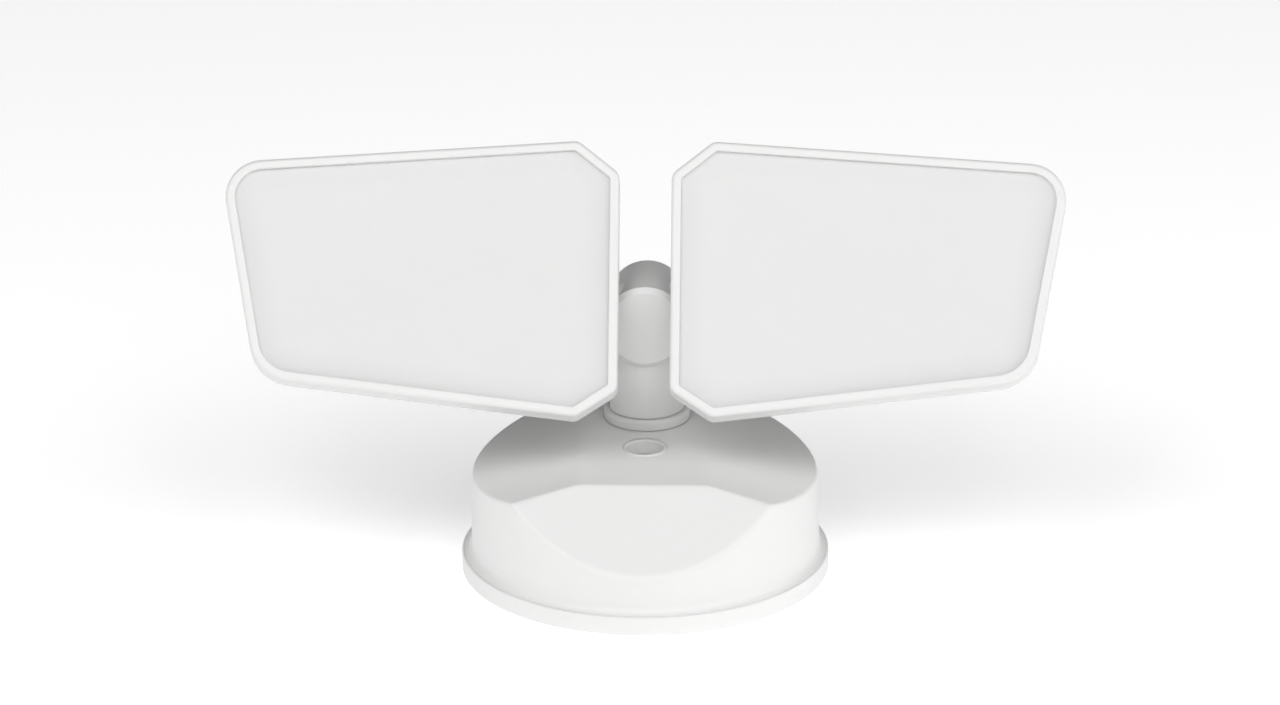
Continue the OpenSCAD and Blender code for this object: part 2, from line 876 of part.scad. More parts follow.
module lamp_bezel(side) {
    color("white")
        on_side(side)
            union() {
                difference() {
                    slab(lamp_outline(0), seam, lens_front);
                    slab(lamp_outline(bezel_rim), seam - over, lens_front + over);
                }
                difference() {
                    slab(lamp_outline(0), lens_front, lamp_front);
                    slab(lamp_outline(bezel_w), lens_front - over, lamp_front + over);
                }
            }
}

module lens(side) {
    color("gainsboro")
        on_side(side)
            slab(lamp_outline(bezel_rim), lens_back, lens_front);
}

module lens_gasket(side) {
    color("dimgray")
        on_side(side)
            difference() {
                slab(lamp_outline(bezel_rim), seam, lens_back);
                slab(lamp_outline(bezel_rim + 2.2), seam - over, lens_back + over);
            }
}

// Plate that follows the lamp's outline and has holes for the board screws
module board_plate(edge, near, far) {
    difference() {
        slab(lamp_outline(edge), near, far);
        for (p = board_spots())
            from_back(p, far)
                rod(screw_r + screw_gap, -over, far - near + over);
    }
}

module led_board(side) {
    color("seagreen")
        on_side(side)
            board_plate(board_edge, led_back, led_front);
}

module led_chips(side) {
    color("khaki")
        on_side(side)
            for (p = led_spots)
                translate([p[0] - chip_w / 2, -led_front - chip_t, p[1] - chip_w / 2])
                    cube([chip_w, chip_t, chip_w]);
}

// White tray over the board, with a window for each chip
module reflector(side) {
    window = chip_w + 1;
    color("white")
        on_side(side)
            union() {
                difference() {
                    board_plate(board_edge, led_front, led_front + reflector_t);
                    for (p = led_spots)
                        translate([p[0] - window / 2, -led_front - over, p[1] - window / 2])
                            cube([window, 2 * over, window]);
                }
                difference() {
                    slab(lamp_outline(board_edge), led_front + reflector_t, seam);
                    slab(lamp_outline(reflector_edge), led_front, seam + over);
                }
            }
}

module thermal_pad(side) {
    color("lightsteelblue")
        on_side(side)
            board_plate(board_edge + 1, floor_in, led_back);
}

module board_screws(side) {
    color("silver")
        on_side(side)
            for (p = board_spots())
                from_front(p, led_front + reflector_t + 1.4)
                    screw(2.6, 1.4, screw_r, led_front + reflector_t - floor_in + 1.2);
}

module bracket(side) {
    color("whitesmoke")
        on_side(side)
            difference() {
                union() {
                    translate([pan_x - bracket_w / 2, -lamp_back, -bracket_h / 2])
                        cube([bracket_w, bracket_t, bracket_h]);
                    for (z = [-ear_out, ear_in])
                        translate([pan_x, 0, z])
                            union() {
                                cylinder(r = ear_r, h = ear_t);
                                translate([-ear_r, -lamp_back + bracket_t / 2, 0])
                                    cube([2 * ear_r, lamp_back - bracket_t / 2, ear_t]);
                            }
                }
                translate([pan_x, 0, 0])
                    rod(pan_r + screw_gap / 2, -ear_out - over, ear_out + over);
                for (p = bracket_spots)
                    from_back(p, lamp_back)
                        rod(screw_r + screw_gap, -over, bracket_t + over);
            }
}

module bracket_screws(side) {
    color("silver")
        on_side(side)
            for (p = bracket_spots)
                from_back(p, lamp_back - bracket_t - screw_head_h)
                    screw(screw_head_r, screw_head_h, screw_r, bracket_t + lamp_wall - 0.6);
}

module pan_bolt(side) {
    color("silver")
        on_side(side)
            translate([pan_x, 0, 0])
                union() {
                    rod(pan_r, -ear_out - pan_nut_h - 1, ear_out);
                    translate([0, 0, ear_out])
                        cylinder(r = pan_r + 2.5, h = pan_head_h, $fn = 6);
                }
}

module pan_nut(side) {
    color("silver")
        on_side(side)
            translate([pan_x, 0, 0])
                nut(pan_r + 2.5, pan_r, -ear_out - pan_nut_h, -ear_out);
}

module cable_gland(side) {
    color("dimgray")
        on_side(side)
            from_back([gland_x, 0], lamp_back)
                difference() {
                    union() {
                        rod(2.5, -lamp_wall, 0);
                        translate([0, 0, 0])
                            cylinder(r = gland_r, h = 3, $fn = 6);
                        rod(gland_r - 1.2, 3, 6);
                    }
                    rod(1.5, -lamp_wall - over, 6 + over);
                }
}

canopy_housing();
canopy_gasket();
mounting_bar();
ground_screw();
canopy_bolt();
bolt_seal();
gear_tray();
tray_screws();
driver_case();
driver_cover();
driver_board();
driver_parts();
driver_screws();
radio_board();
radio_shield();
radio_screws();
terminal_block();
terminal_screws();
post_collar();
collar_seal();
post();
post_washer();
post_nut();
hub_cap();
hub_seal();
arm(-1);  // left_arm
arm_seal(-1);  // left_arm_seal
arm_nut(-1);  // left_arm_nut
lamp_housing(-1);  // left_lamp_housing
lamp_bezel(-1);  // left_lamp_bezel
lens(-1);  // left_lens
lens_gasket(-1);  // left_lens_gasket
led_board(-1);  // left_led_board
led_chips(-1);  // left_led_chips
reflector(-1);  // left_reflector
thermal_pad(-1);  // left_thermal_pad
board_screws(-1);  // left_board_screws
bracket(-1);  // left_bracket
bracket_screws(-1);  // left_bracket_screws
pan_bolt(-1);  // left_pan_bolt
pan_nut(-1);  // left_pan_nut
cable_gland(-1);  // left_cable_gland
arm(1);  // right_arm
arm_seal(1);  // right_arm_seal
arm_nut(1);  // right_arm_nut
lamp_housing(1);  // right_lamp_housing
lamp_bezel(1);  // right_lamp_bezel
lens(1);  // right_lens
lens_gasket(1);  // right_lens_gasket
led_board(1);  // right_led_board
led_chips(1);  // right_led_chips
reflector(1);  // right_reflector
thermal_pad(1);  // right_thermal_pad
board_screws(1);  // right_board_screws
bracket(1);  // right_bracket
bracket_screws(1);  // right_bracket_screws
pan_bolt(1);  // right_pan_bolt
pan_nut(1);  // right_pan_nut
cable_gland(1);  // right_cable_gland
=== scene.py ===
# %% [markdown]
# # A twin-head floodlight, built around its CAD frame
#
# The light has two flat opal lamps on tilting arms, a short swivelling post with a hub, and a round
# canopy that covers a junction box. The CAD model already holds every part at its true place, so
# this lesson gives the visible parts their finished surfaces: rounded edges, soft creases and paint.
#
# The frame comes first. Everything afterwards is placed from it, so nothing has to be fitted by eye.

import json
import math

import bmesh
import bpy
import numpy as np
from mathutils import Matrix, Vector


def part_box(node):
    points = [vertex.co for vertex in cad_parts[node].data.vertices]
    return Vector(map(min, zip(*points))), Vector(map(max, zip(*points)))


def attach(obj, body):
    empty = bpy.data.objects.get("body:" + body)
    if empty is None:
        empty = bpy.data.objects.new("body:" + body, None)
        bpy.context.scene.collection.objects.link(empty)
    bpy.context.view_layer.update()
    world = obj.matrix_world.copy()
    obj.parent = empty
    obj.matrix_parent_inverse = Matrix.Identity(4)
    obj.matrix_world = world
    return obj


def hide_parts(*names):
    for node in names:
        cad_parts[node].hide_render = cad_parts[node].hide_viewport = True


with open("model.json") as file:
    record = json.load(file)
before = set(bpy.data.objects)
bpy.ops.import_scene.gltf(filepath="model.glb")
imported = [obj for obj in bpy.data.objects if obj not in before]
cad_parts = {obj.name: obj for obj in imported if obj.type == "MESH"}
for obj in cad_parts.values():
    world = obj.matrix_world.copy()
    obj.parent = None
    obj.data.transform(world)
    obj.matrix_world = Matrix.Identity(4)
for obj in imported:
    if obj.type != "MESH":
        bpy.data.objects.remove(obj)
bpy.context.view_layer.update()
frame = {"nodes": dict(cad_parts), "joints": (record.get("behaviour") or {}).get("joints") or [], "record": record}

# %% [markdown]
# ## Sizes taken from the frame
#
# Shapes below are worked out in millimetres, because that is how the real parts are drawn, and are
# turned into metres when a mesh is made. The hinge places and axes are read from the joints.

# %% Read the driving sizes
MM = 0.001


def low_high(node):
    """A node's lowest and highest corners in millimetres."""
    lo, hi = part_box(node)
    return np.array(lo) / MM, np.array(hi) / MM


joints = {j["name"]: j for j in frame["joints"]}
hub_y, hub_z = (v / MM for v in joints["right_pan"]["pos_m"][1:])
pan_axis = np.array(joints["right_pan"]["axis"])
tilt = math.atan2(pan_axis[1], pan_axis[2])
canopy_hi = low_high("canopy_housing")[1]
flange_r, canopy_top = min(canopy_hi[:2]), canopy_hi[2]
print(f"hub centre at y {hub_y:.1f}, z {hub_z:.1f} mm; lamps lean back {math.degrees(tilt):.1f} degrees")
print(f"canopy radius {flange_r:.1f} mm, height {canopy_top:.1f} mm")

# %% [markdown]
# ## The camera
#
# A long lens far away keeps the picture nearly free of perspective, as in a catalogue shot. The
# camera looks down a little and stands slightly to the right.

# %% Place the camera
CAMERA_AZIMUTH = 1.6
CAMERA_ELEVATION = 22.0
CAMERA_ROLL = -0.3
CAMERA_DISTANCE = 5.0
CAMERA_AIM = Vector((-0.0015, 0.0, 0.0790))
VIEW_WIDTH = 0.4416

camera_data = bpy.data.cameras.new("camera")
camera = bpy.data.objects.new("camera", camera_data)
bpy.context.scene.collection.objects.link(camera)
turn = math.radians(CAMERA_AZIMUTH)
rise = math.radians(CAMERA_ELEVATION)
back = Vector((math.sin(turn) * math.cos(rise), -math.cos(turn) * math.cos(rise), math.sin(rise)))
camera.location = CAMERA_AIM + back * CAMERA_DISTANCE
aim = (-back).to_track_quat("-Z", "Y").to_matrix().to_4x4()
roll = Matrix.Rotation(math.radians(CAMERA_ROLL), 4, "Z")
camera.rotation_euler = (aim @ roll).to_euler()
camera_data.sensor_width = 36.0
camera_data.lens = camera_data.sensor_width * CAMERA_DISTANCE / VIEW_WIDTH
bpy.context.scene.camera = camera
print(f"camera with a {camera_data.lens:.0f} mm lens, {CAMERA_DISTANCE} m away")

# %% [markdown]
# ## Surfaces from grids
#
# Nearly every moulded part here is a profile carried once around a closed path. As points, that is a
# grid: one index goes around, the other along the profile. If the profile ends on the axis, its end
# column is one point and becomes a fan. If the profile closes on itself, the grid wraps both ways.

# %% Grid helpers
MERGE_BELOW = 2e-7
COLLAPSE_BELOW = 1e-7


def sweep(points, closed):
    """Points (around, along, 3) to a closed shell. The first index always wraps.
    closed: the profile also wraps. Otherwise its two end columns each become one point."""
    around, along = points.shape[:2]
    i = np.arange(around)
    j = np.arange(along if closed else along - 1)
    a, b = np.meshgrid(i, j, indexing="ij")
    a2, b2 = (a + 1) % around, (b + 1) % along
    quads = np.stack([a * along + b, a2 * along + b, a2 * along + b2, a * along + b2], -1).reshape(-1, 4)
    return points.reshape(-1, 3), quads


def volume(verts, faces):
    """Signed volume of a closed shell of quads: the sum of the tetrahedra from the origin."""
    p = verts[faces]
    first = np.einsum("ij,ij->i", p[:, 0], np.cross(p[:, 1], p[:, 2]))
    second = np.einsum("ij,ij->i", p[:, 0], np.cross(p[:, 2], p[:, 3]))
    return (first + second).sum() / 6


def make_piece(name, shells, material, body, replaces=(), depth=None):
    """One Blender object from closed shells in millimetres. Each shell is turned to face outwards,
    doubled points at the poles are merged, and the piece rides on its CAD body.
    depth: a value per point, kept as the attribute "from_edge" for the material."""
    verts, faces, start = [], [], 0
    for v, f in shells:
        if volume(v, f) < 0:
            f = f[:, ::-1]
        verts.append(v * MM)
        faces.append(f + start)
        start += len(v)
    mesh = bpy.data.meshes.new(name)
    mesh.from_pydata(np.concatenate(verts), [], np.concatenate(faces))
    if depth is not None:
        mesh.attributes.new("from_edge", "FLOAT", "POINT").data.foreach_set("value", depth.ravel())
    obj = bpy.data.objects.new(name, mesh)
    bpy.context.scene.collection.objects.link(obj)
    bm = bmesh.new()
    bm.from_mesh(mesh)
    bmesh.ops.remove_doubles(bm, verts=bm.verts, dist=MERGE_BELOW)
    bmesh.ops.dissolve_degenerate(bm, edges=bm.edges, dist=COLLAPSE_BELOW)
    bm.to_mesh(mesh)
    bm.free()
    mesh.polygons.foreach_set("use_smooth", np.ones(len(mesh.polygons), bool))
    mesh.materials.append(material)
    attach(obj, body)
    if replaces:
        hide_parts(*replaces)
    print(f"{name}: {len(mesh.vertices)} points, {len(mesh.polygons)} faces")


# %% [markdown]
# Real mouldings have no knife edges, so each profile is a list of corners with a radius each. A
# short holding step on both sides of every rounded corner keeps the flats flat when the normals are
# smoothed across the corner.

# %% Rounded profiles


def rounded_line(corners, radii, steps=6, hold=0.15, closed=False):
    """A polyline with each corner replaced by an arc that touches both sides: the arc of radius r
    starts r * tan(turn / 2) before the corner. A radius of 0 keeps the corner as it is."""
    pts = np.array(corners, float)
    count = len(pts)
    out = []
    for k in range(count):
        p, r = pts[k], radii[k]
        if r == 0 or (not closed and k in (0, count - 1)):
            out.append(p)
            continue
        u = pts[k - 1] - p
        w = pts[(k + 1) % count] - p
        u, w = u / np.linalg.norm(u), w / np.linalg.norm(w)
        half = math.acos(np.clip(u @ w, -1, 1)) / 2
        reach = r / math.tan(half)
        centre = p + (u + w) / np.linalg.norm(u + w) * r / math.sin(half)
        a, b = p + u * reach - centre, p + w * reach - centre
        angle = math.pi - 2 * half
        t = np.linspace(0, 1, steps + 1)[:, None]
        arc = centre + (np.sin((1 - t) * angle) * a + np.sin(t * angle) * b) / math.sin(angle)
        out += [p + u * (reach + hold), *arc, p + w * (reach + hold)]
    return np.array(out)


def lathe(profile, count=96):
    """Turns a profile of (radius, height) about the Z axis: x = r cos, y = r sin."""
    angle = np.linspace(0, 2 * math.pi, count, endpoint=False)[:, None]
    r, z = profile[:, 0][None], profile[:, 1][None]
    return np.stack([r * np.cos(angle), r * np.sin(angle), z + 0 * angle], -1)


# %% [markdown]
# ## Finishes
#
# A satin powder coat is not one flat colour. Under a soft light it shows a faint orange-peel
# texture, a tiny drift in tone and slightly uneven gloss. Three noises on Object coordinates give
# those: a fine one for the peel, a wide one for tone and a middling one for the gloss.

# %% Material helpers
# Noise values seldom leave the span from NOISE_LOW to NOISE_HIGH. Scales are per metre.
NOISE_LOW, NOISE_HIGH = 0.3, 0.7
DRIFT_SCALE, GLOSS_SCALE = 30.0, 140.0
GLOSS_LOW, GLOSS_HIGH = 0.93, 1.07
GRAIN_DETAIL = 3.0
SOAK_DEPTH = 0.003


def new_material(name):
    """An empty node material with its shader and the object's own coordinates."""
    mat = bpy.data.materials.new(name)
    mat.use_nodes = True
    nodes, links = mat.node_tree.nodes, mat.node_tree.links
    shader = nodes["Principled BSDF"]
    coords = nodes.new("ShaderNodeTexCoord").outputs["Object"]
    return mat, nodes, links, shader, coords


def noise(nodes, links, coords, scale, detail=2.0):
    """Noise with features about 1 / scale metres across."""
    node = nodes.new("ShaderNodeTexNoise")
    node.inputs["Scale"].default_value = scale
    node.inputs["Detail"].default_value = detail
    links.new(coords, node.inputs["Vector"])
    return node.outputs["Fac"]


def ramp(nodes, links, value, low, high):
    """Maps a 0 to 1 value onto low to high."""
    node = nodes.new("ShaderNodeMapRange")
    node.inputs["From Min"].default_value = NOISE_LOW
    node.inputs["From Max"].default_value = NOISE_HIGH
    node.inputs["To Min"].default_value = low
    node.inputs["To Max"].default_value = high
    links.new(value, node.inputs["Value"])
    return node.outputs["Result"]


def tone(nodes, links, value, dark, light):
    """Mixes two colours by a 0 to 1 value."""
    node = nodes.new("ShaderNodeMix")
    node.data_type = "RGBA"
    node.inputs["A"].default_value = (*dark, 1)
    node.inputs["B"].default_value = (*light, 1)
    links.new(value, node.inputs["Factor"])
    return node.outputs["Result"]


def bump(nodes, links, shader, height, distance):
    """Raises the surface by height times distance metres."""
    node = nodes.new("ShaderNodeBump")
    node.inputs["Strength"].default_value = 1.0
    node.inputs["Distance"].default_value = distance
    links.new(height, node.inputs["Height"])
    links.new(node.outputs["Normal"], shader.inputs["Normal"])


def shade(colour, factor):
    """A colour times a factor."""
    return tuple(c * factor for c in colour)


def moulded(name, colour, rough, grain=900.0, depth=12e-6, drift=0.02, metal=0.0, soft=0.0):
    """Paint or plastic: fine grain in the bump, a slow drift of tone, uneven gloss."""
    mat, nodes, links, shader, coords = new_material(name)
    slow = noise(nodes, links, coords, DRIFT_SCALE)
    links.new(tone(nodes, links, slow, shade(colour, 1 - drift), colour), shader.inputs["Base Color"])
    gloss = noise(nodes, links, coords, GLOSS_SCALE)
    links.new(ramp(nodes, links, gloss, rough * GLOSS_LOW, rough * GLOSS_HIGH), shader.inputs["Roughness"])
    bump(nodes, links, shader, noise(nodes, links, coords, grain, GRAIN_DETAIL), depth)
    shader.inputs["Metallic"].default_value = metal
    if soft:
        shader.inputs["Subsurface Weight"].default_value = soft
        shader.inputs["Subsurface Radius"].default_value = (SOAK_DEPTH,) * 3
        shader.inputs["Subsurface Scale"].default_value = 1.0
    return mat


# %% [markdown]
# The lens is an opal diffuser: light soaks in a little way and comes out again, which takes some
# subsurface scattering. Near its rim the opal's colour is painted a touch greyer, a painted shade that
# stands in for the shadow of the frame on the lens. The mesh stores how far each point lies from the
# rim, and the material reads that attribute.

# %% Opal material
# Painted shade: the lens colour is multiplied by this factor at the rim, standing in for the frame's shadow.
LENS_RIM_SHADE = 0.95


def opal(name, colour, rough):
    """The moulded finish, with its colour times a painted rim shade that fades to 1 away from the rim."""
    mat = moulded(name, colour, rough, grain=2200.0, depth=4e-6, soft=0.25)
    nodes, links = mat.node_tree.nodes, mat.node_tree.links
    shader = nodes["Principled BSDF"]
    plain = shader.inputs["Base Color"].links[0].from_socket
    # Painted shade: the from_edge attribute mixes a darker lens colour in near the frame.
    rim = nodes.new("ShaderNodeAttribute")
    rim.attribute_name = "from_edge"
    mix = nodes.new("ShaderNodeMix")
    mix.data_type = "RGBA"
    mix.inputs["A"].default_value = (*shade(colour, LENS_RIM_SHADE), 1)
    links.new(plain, mix.inputs["B"])
    links.new(rim.outputs["Fac"], mix.inputs["Factor"])
    links.new(mix.outputs["Result"], shader.inputs["Base Color"])
    return mat


# %% Make the finishes
finish = {
    "white_paint": moulded("white_paint", (0.765, 0.765, 0.76), 0.42),
    "white_plastic": moulded("white_plastic", (0.74, 0.74, 0.735), 0.38, grain=1400.0, depth=6e-6),
    "opal_lens": opal("opal_lens", (0.71, 0.71, 0.708), 0.50),
    "rubber_seal": moulded("rubber_seal", (0.035, 0.035, 0.038), 0.75, grain=1500.0, depth=30e-6),
    "zinc_steel": moulded("zinc_steel", (0.62, 0.62, 0.60), 0.32, grain=2500.0, depth=4e-6, metal=1.0),
    "bar_steel": moulded("bar_steel", (0.52, 0.53, 0.54), 0.42, grain=160.0, depth=10e-6, drift=0.25,
                         metal=1.0),
    "green_screw": moulded("green_screw", (0.03, 0.24, 0.08), 0.35, grain=1500.0, depth=4e-6),
    "brass_clamp": moulded("brass_clamp", (0.76, 0.55, 0.22), 0.30, grain=1500.0, depth=4e-6, metal=1.0),
    "tray_plastic": moulded("tray_plastic", (0.60, 0.60, 0.58), 0.55, grain=1200.0, depth=18e-6),
    "case_plastic": moulded("case_plastic", (0.33, 0.34, 0.35), 0.55, grain=1200.0, depth=18e-6),
    "circuit_board": moulded("circuit_board", (0.02, 0.16, 0.06), 0.30, grain=600.0, depth=15e-6,
                             drift=0.2),
    "white_board": moulded("white_board", (0.72, 0.74, 0.71), 0.35, grain=600.0, depth=8e-6),
    "coil_parts": moulded("coil_parts", (0.46, 0.27, 0.05), 0.35, grain=500.0, depth=20e-6, drift=0.2),
    "shield_can": moulded("shield_can", (0.66, 0.66, 0.67), 0.36, grain=900.0, depth=6e-6, metal=1.0),
    "chip_phosphor": moulded("chip_phosphor", (0.85, 0.66, 0.15), 0.40, grain=3000.0, depth=6e-6),
    "reflector_white": moulded("reflector_white", (0.88, 0.88, 0.88), 0.28, grain=900.0, depth=4e-6),
    "thermal_pad": moulded("thermal_pad", (0.26, 0.34, 0.44), 0.70, grain=900.0, depth=20e-6),
    "terminal_ivory": moulded("terminal_ivory", (0.74, 0.70, 0.54), 0.50, grain=1200.0, depth=12e-6),
}
print(len(finish), "finishes")

# %% [markdown]
# The CAD parts that keep their own mesh, such as screws, nuts and boards, take the finish that the
# record names for them.

# %% Paint the CAD parts
for part in frame["record"]["subparts"]:
    obj = frame["nodes"][part["node"]]
    obj.data.materials.clear()
    obj.data.materials.append(finish[part["material_slot"]])

# %% [markdown]
# ## Softened edges
#
# Turned and bent metal parts already have the right shape in CAD, but their edges are perfectly
# sharp, which real parts never are: every edge is broken, painted over or worn. Modelling them again
# would gain nothing. Instead the mesh is copied, its doubled points are merged, flat facets become
# single faces, and a Bevel modifier rounds only the edges that turn sharply. The normals are kept
# flat on the flat faces, so the light catches just the narrow rounded edge.

# %% Softened copies
CREASE_ANGLE = math.radians(32)
FLAT_ANGLE = math.radians(0.5)
CAD_MERGE_BELOW = 2e-6


def softened(node, width, body, slot):
    """A copy of a CAD part whose sharp edges are rounded to the given width in millimetres."""
    bm = bmesh.new()
    bm.from_mesh(frame["nodes"][node].data)
    bmesh.ops.remove_doubles(bm, verts=bm.verts, dist=CAD_MERGE_BELOW)
    bmesh.ops.dissolve_limit(bm, angle_limit=FLAT_ANGLE, verts=bm.verts, edges=bm.edges)
    mesh = bpy.data.meshes.new(f"{node}_soft")
    bm.to_mesh(mesh)
    bm.free()
    mesh.polygons.foreach_set("use_smooth", np.ones(len(mesh.polygons), bool))
    mesh.set_sharp_from_angle(angle=CREASE_ANGLE)
    mesh.materials.append(finish[slot])
    obj = bpy.data.objects.new(f"{node}_soft", mesh)
    bpy.context.scene.collection.objects.link(obj)
    edge = obj.modifiers.new("rounded edges", "BEVEL")
    edge.limit_method = "ANGLE"
    edge.angle_limit = CREASE_ANGLE
    edge.width = width * MM
    edge.segments = 3
    edge.harden_normals = True
    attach(obj, body)
    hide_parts(node)
    print(f"{node}_soft: {len(mesh.polygons)} faces before its edges are rounded")


# %% Soften the hub, arms and brackets
softened("post", 0.9, "post", "white_paint")
for word in ("left", "right"):
    softened(f"{word}_arm", 0.5, f"{word}_arm", "white_paint")
    softened(f"{word}_bracket", 0.5, f"{word}_lamp", "white_paint")
    softened(f"{word}_pan_bolt", 0.35, f"{word}_lamp", "zinc_steel")
    softened(f"{word}_pan_nut", 0.3, f"{word}_lamp", "zinc_steel")
    softened(f"{word}_cable_gland", 0.3, f"{word}_lamp", "rubber_seal")

# %% [markdown]
# ## The canopy
#
# The canopy is a die-cast cup. Its top is cut by planes: a level strip across the middle, a slope
# falling away on each side and a steep facet in front. It could be cut with Booleans, but then every
# rounded edge would depend on a bevel surviving that cut. Here the top is one height function of the
# distance from the axis and the angle, so its edges are rounded by the formula itself.

# %% Canopy sizes
flare_in, wall_draft = 3.3, 0.4
wall_r = flange_r - flare_in
wall_top_r = wall_r - wall_draft
flange_h, wall_z = 6.5, 10.2
canopy_wall = 2.5
inner_wall_r = wall_top_r - canopy_wall
rim_land, inner_start, boss_clear = 0.8, 3.0, 2.0
strip_half = 21.5
side_slope = math.tan(math.radians(12.7))
facet_edge = 33.4
facet_slope = math.tan(math.radians(43.2))
top_round, rim_round, facet_round = 8.0, 1.0, 1.6
recess_r, recess_draft = 6.0, 0.5
recess_floor = low_high("bolt_seal")[0][2]
recess_lip, boss_t = 1.3, 3.0
top_start = recess_r + recess_lip
bolt_hole_r, boss_r, boss_foot = 3.2, 9.0, recess_floor - boss_t
ridge_soft, side_soft, rim_soft = 0.6, 0.35, 1.0


def soft_min(a, b, width):
    """The smaller of a and b. Where they differ by less than width, the square of what is missing,
    over four times the width, is taken off too, which rounds the corner between them."""
    gap = np.maximum(width - np.abs(a - b), 0)
    return np.minimum(a, b) - gap * gap / (4 * width)


def edge_drop(r, limit, radius):
    """How far a rounded rim has fallen at r: a quarter circle of the given radius ends at limit."""
    t = np.clip((r - (limit - radius)) / radius, 0, 1)
    return radius * (1 - np.sqrt(np.clip(1 - t * t, 0, 1)))


def top_height(r, angle):
    """Height of the canopy's top: the lowest of the strip, the side slopes, the turned body with its
    widely rounded edge, and the front facet. The planes end in narrow rims of their own, so the
    wide rounding only shows at the back, where the planes are high."""
    x, y = r * np.cos(angle), r * np.sin(angle)
    side = canopy_top - side_slope * (np.abs(x) - strip_half)
    planes = soft_min(canopy_top + 0 * x, side, side_soft) - edge_drop(r, wall_top_r, rim_round)
    turned = canopy_top - edge_drop(r, wall_top_r, top_round)
    facet = canopy_top + facet_slope * (y + facet_edge) - edge_drop(r, wall_top_r, facet_round)
    return soft_min(soft_min(planes, turned, rim_soft), facet, ridge_soft)


# %% [markdown]
# A regular polar grid would cross the creases at an angle and make them look like saw teeth. So the
# rings of the grid are bent to run along the creases: on every ray from the axis, one ring sits where
# the ray meets the side crease and another where it meets the facet's ridge.

# %% Canopy grid
BREAK_HALF, BREAK_SPACING, RIM_SPACING = 0.9, 2.0, 1.0
ring_counts = [16, 4, 14, 6, 14]
rim_count = 22


def ray_breaks(angle, start, stop):
    """Distances along each ray where it meets the side crease and the facet's ridge: the crease is
    half the strip's width over the cosine, and the ridge is where the facet's height equals the
    strip's or the side slope's, whichever comes later. Both are kept apart and off the ends."""
    c, s = np.abs(np.cos(angle)), np.sin(angle)
    with np.errstate(divide="ignore", invalid="ignore"):
        crease = strip_half / c
        from_strip = np.where(s < 0, facet_edge / -s, np.inf)
        fall = facet_slope * s + side_slope * c
        from_side = np.where(fall < 0, (side_slope * strip_half - facet_slope * facet_edge) / fall, np.inf)
    ridge = np.maximum(from_strip, from_side)
    ridge = np.clip(ridge, start + 2 * BREAK_SPACING, stop - RIM_SPACING)
    crease = np.clip(crease, start + BREAK_SPACING, ridge - BREAK_SPACING)
    return crease, ridge


def canopy_rings(angle):
    """Radii of the rings on the canopy's top, for every ray: evenly spread between the breaks, and
    closer together towards the rounded rim."""
    start, stop = top_start, wall_top_r - top_round
    crease, ridge = ray_breaks(angle, start, stop)
    knots = [np.full_like(angle, start), crease - BREAK_HALF, crease + BREAK_HALF,
             ridge - BREAK_HALF, ridge + BREAK_HALF, np.full_like(angle, stop)]
    parts = []
    for a, b, n in zip(knots[:-1], knots[1:], ring_counts):
        t = np.arange(n) / n
        parts.append(a[:, None] + (b - a)[:, None] * t)
    rim = stop + top_round * np.sin(np.linspace(0, math.pi / 2, rim_count))
    parts.append(np.repeat(rim[None], len(angle), 0))
    return np.concatenate(parts, 1)


# %% Build the canopy
WALL_STEPS = 9
INNER_STEP = 3


def canopy_shell(count=512):
    """The whole cup as one closed profile per ray: bolt hole, recess, top, wall, flare, flange,
    then back up the inside to the boss under the recess. The inside follows every third ring of the
    top, drawn in and lowered by the wall's thickness."""
    angle = np.linspace(0, 2 * math.pi, count, endpoint=False)
    ones = np.ones((count, 1, 1))
    recess = rounded_line(
        [(bolt_hole_r, boss_foot), (bolt_hole_r, recess_floor), (recess_r - recess_draft, recess_floor),
         (recess_r + recess_draft, canopy_top), (top_start, canopy_top)], [0, 0.2, 0.4, 0.6, 0], 4, 0.05)
    r_top = canopy_rings(angle)
    z_top = top_height(r_top, angle[:, None])
    z_edge = z_top[:, -1:]
    t = np.linspace(0, 1, WALL_STEPS)[None, 1:]
    z_wall = z_edge + (wall_z - z_edge) * t
    r_wall = wall_top_r + (wall_r - wall_top_r) * (canopy_top - z_wall) / (canopy_top - wall_z)
    bend = np.linspace(0, math.pi / 2, WALL_STEPS)[:-1]
    flare = np.stack([flange_r - flare_in * np.cos(bend), wall_z - (wall_z - flange_h) * np.sin(bend)], 1)
    flange = rounded_line(
        [(flange_r - rim_land, flange_h), (flange_r, flange_h), (flange_r, 0), (inner_wall_r, 0),
         (inner_wall_r, inner_start)], [0, 0.5, 0.3, 0.3, 0], 4, 0.1)
    inner_r = r_top[:, ::-INNER_STEP] * inner_wall_r / wall_top_r
    inner_z = z_top[:, ::-INNER_STEP] - canopy_wall
    keep = inner_r[0] > boss_r + boss_clear
    inner_r, inner_z = inner_r[:, keep], inner_z[:, keep]
    boss = np.array([(boss_r, canopy_top - canopy_wall), (boss_r, boss_foot)])
    recess, flare, flange, boss = (ones * line[None] for line in (recess, flare[1:], flange, boss))
    r = np.concatenate([recess[..., 0], r_top, r_wall, flare[..., 0], flange[..., 0], inner_r,
                        boss[..., 0]], 1)
    z = np.concatenate([recess[..., 1], z_top, z_wall, flare[..., 1], flange[..., 1], inner_z,
                        boss[..., 1]], 1)
    return sweep(np.stack([r * np.cos(angle[:, None]), r * np.sin(angle[:, None]), z], -1), True)


make_piece("canopy_shell", [canopy_shell()], finish["white_paint"], "canopy",
           ["canopy_housing"])

# %% [markdown]
# ## Collar, post and hub
#
# The collar is a low turned ring with a soft upper edge. The post, whose edges were softened above,
# rises from it into a horizontal barrel, which a turned, bevelled cap closes at the front.

